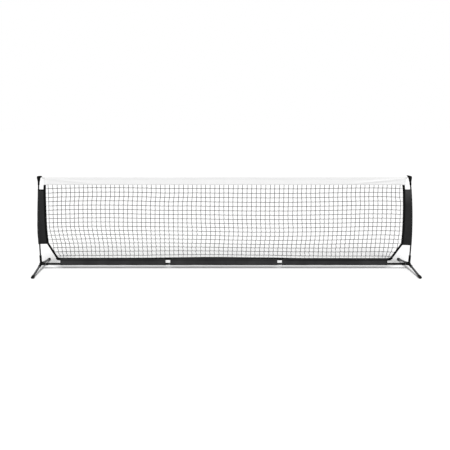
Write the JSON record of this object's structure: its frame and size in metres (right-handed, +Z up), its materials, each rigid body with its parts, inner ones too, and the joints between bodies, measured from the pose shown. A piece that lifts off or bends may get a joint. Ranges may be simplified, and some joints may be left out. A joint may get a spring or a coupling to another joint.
{
  "type": "pickleball portable net",
  "caption": "Free-standing net: white top band, black mesh with taped edges, bowed poles in sleeves, base bar through a cloth sleeve, plug-in legs.",
  "frame": {"origin": "on the floor, under the middle of the net", "axes": "+X along the net to the right, +Y away from the front of the net, +Z up"},
  "size_m": [3.692, 0.6032, 0.941],
  "materials": {
    "hub_plastic": "matte moulded nylon",
    "bar_steel": "satin black powder coat",
    "leg_steel": "satin dark grey powder coat",
    "foot_rubber": "matte rubber",
    "pole_fibreglass": "smooth black fibreglass",
    "pole_tip_vinyl": "soft vinyl",
    "spring_steel": "bright spring steel",
    "button_steel": "zinc plated steel",
    "net_cord": "knotless polyethylene cord",
    "edge_tape": "woven webbing",
    "side_cloth": "coated woven polyester",
    "bar_cloth": "coated woven polyester",
    "headband_vinyl": "satin coated vinyl",
    "strap_webbing": "woven webbing",
    "pocket_webbing": "woven webbing"
  },
  "bodies": {
    "net_frame": {"bar_button_spring_left": "spring_steel", "bar_button_spring_right": "spring_steel", "base_bar_center": "bar_steel", "base_bar_left": "bar_steel", "base_bar_right": "bar_steel", "bottom_sleeve_center": "bar_cloth", "bottom_sleeve_left": "bar_cloth", "bottom_sleeve_right": "bar_cloth", "bottom_tape": "edge_tape", "corner_hub_left": "hub_plastic", "corner_hub_right": "hub_plastic", "corner_tape_left": "edge_tape", "corner_tape_right": "edge_tape", "headband": "headband_vinyl", "hub_button_spring_left": "spring_steel", "hub_button_spring_right": "spring_steel", "net_mesh": "net_cord", "pole_left": "pole_fibreglass", "pole_right": "pole_fibreglass", "pole_tip_cap_left": "pole_tip_vinyl", "pole_tip_cap_right": "pole_tip_vinyl", "side_sleeve_left": "side_cloth", "side_sleeve_right": "side_cloth", "side_tape_left": "edge_tape", "side_tape_right": "edge_tape", "tip_pocket_left": "pocket_webbing", "tip_pocket_right": "pocket_webbing", "top_strap": "strap_webbing"},
    "leg_front_left": {"leg_front_left": "leg_steel", "foot_cap_front_left": "foot_rubber"},
    "leg_rear_left": {"leg_rear_left": "leg_steel", "foot_cap_rear_left": "foot_rubber"},
    "hub_button_left": {"hub_button_left": "button_steel"},
    "bar_button_left": {"bar_button_left": "button_steel"},
    "leg_front_right": {"leg_front_right": "leg_steel", "foot_cap_front_right": "foot_rubber"},
    "leg_rear_right": {"leg_rear_right": "leg_steel", "foot_cap_rear_right": "foot_rubber"},
    "hub_button_right": {"hub_button_right": "button_steel"},
    "bar_button_right": {"bar_button_right": "button_steel"}
  },
  "joints": [
    {"name": "leg_front_left_plug", "type": "slide", "parent": "net_frame", "child": "leg_front_left", "axis": [0, -0.9908, -0.1354], "range_m": [0, 0.0475]},
    {"name": "leg_rear_left_plug", "type": "slide", "parent": "net_frame", "child": "leg_rear_left", "axis": [0, 0.9908, -0.1354], "range_m": [0, 0.0475]},
    {"name": "leg_front_right_plug", "type": "slide", "parent": "net_frame", "child": "leg_front_right", "axis": [0, -0.9908, -0.1354], "range_m": [0, 0.0475]},
    {"name": "leg_rear_right_plug", "type": "slide", "parent": "net_frame", "child": "leg_rear_right", "axis": [0, 0.9908, -0.1354], "range_m": [0, 0.0475]},
    {"name": "hub_button_left_press", "type": "slide", "parent": "net_frame", "child": "hub_button_left", "axis": [0, 1, 0], "range_m": [0, 0.0038], "stiffness_N_per_m": 2000, "springref_m": -0.003, "deforming": ["hub_button_spring_left"]},
    {"name": "bar_button_left_press", "type": "slide", "parent": "net_frame", "child": "bar_button_left", "axis": [0, 1, 0], "range_m": [0, 0.003], "stiffness_N_per_m": 2000, "springref_m": -0.003, "deforming": ["bar_button_spring_left"]},
    {"name": "hub_button_right_press", "type": "slide", "parent": "net_frame", "child": "hub_button_right", "axis": [0, 1, 0], "range_m": [0, 0.0038], "stiffness_N_per_m": 2000, "springref_m": -0.003, "deforming": ["hub_button_spring_right"]},
    {"name": "bar_button_right_press", "type": "slide", "parent": "net_frame", "child": "bar_button_right", "axis": [0, 1, 0], "range_m": [0, 0.003], "stiffness_N_per_m": 2000, "springref_m": -0.003, "deforming": ["bar_button_spring_right"]}
  ]
}
